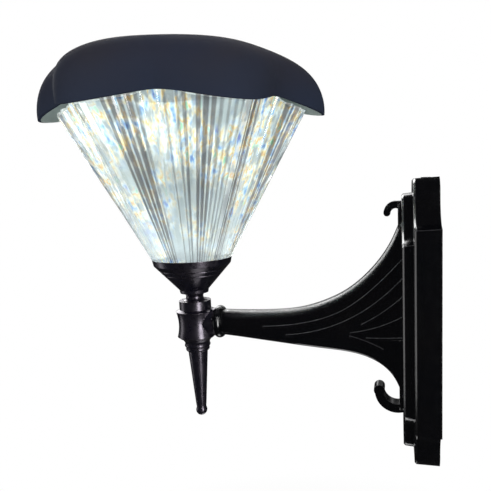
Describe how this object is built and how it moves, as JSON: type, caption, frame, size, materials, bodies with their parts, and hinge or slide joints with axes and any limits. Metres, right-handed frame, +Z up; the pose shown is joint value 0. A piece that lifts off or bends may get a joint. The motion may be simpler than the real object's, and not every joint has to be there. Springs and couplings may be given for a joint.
{
  "type": "solar wall light",
  "caption": "Outdoor wall light with a petal cap that carries a solar panel, a clear fluted diffuser, a ribbed bracket arm with curled tips and a stepped wall plate.",
  "frame": {"origin": "centre of the wall plate's back, on the wall plane", "axes": "+Y into the wall, +Z up, the light stands out towards -Y"},
  "size_m": [0.192, 0.2757, 0.2895],
  "materials": {
    "cap_plastic": "matte charcoal moulding with a blue cast",
    "solar_glass": "dark blue cells under a clear glossy face",
    "clear_acrylic": "clear polished moulding",
    "bronze_paint": "dark bronze satin paint",
    "black_paint": "glossy black paint",
    "steel": "zinc-plated steel",
    "seal_rubber": "black rubber",
    "white_plastic": "white moulding",
    "silvered": "bright silvered plastic",
    "board_green": "green circuit board",
    "board_white": "white solder mask on a light board",
    "chip_yellow": "phosphor face of the light chips",
    "cell_wrap": "blue shrink wrap",
    "button_plastic": "red moulding",
    "lead_sleeve": "red wire sleeve"
  },
  "bodies": {
    "lamp": {"wall_plate": "black_paint", "wall_bracket": "steel", "lock_screws": "steel", "arm": "black_paint", "arm_screws": "steel", "arm_ring": "black_paint", "arm_stud": "steel", "tee": "bronze_paint", "drop_collar": "bronze_paint", "finial": "bronze_paint", "stem": "steel", "lock_washer": "steel", "lock_nut": "steel", "neck_spool": "bronze_paint", "cup": "bronze_paint", "diffuser_seal": "seal_rubber", "diffuser": "clear_acrylic", "cap_gasket": "seal_rubber"},
    "cap": {"cap": "cap_plastic", "panel_seal": "seal_rubber", "solar_panel": "solar_glass", "panel_leads": "lead_sleeve", "engine_housing": "white_plastic", "housing_screws": "steel", "control_board": "board_green", "board_switch": "button_plastic", "battery_cell": "cell_wrap", "battery_contacts": "steel", "battery_holder": "white_plastic", "led_board": "board_white", "led_chips": "chip_yellow", "led_lens": "clear_acrylic", "reflector": "silvered", "button_bezel": "white_plastic"},
    "button": {"power_button": "button_plastic"}
  },
  "joints": [
    {"name": "cap_twist", "type": "hinge", "parent": "lamp", "child": "cap", "pos_m": [0, -0.1767, 0.1482], "axis": [0, 0, 1], "range_deg": [0, 20]},
    {"name": "power_button_press", "type": "slide", "parent": "cap", "child": "button", "axis": [0, 0, 1], "range_m": [0, 0.0015], "stiffness_N_per_m": 400}
  ]
}
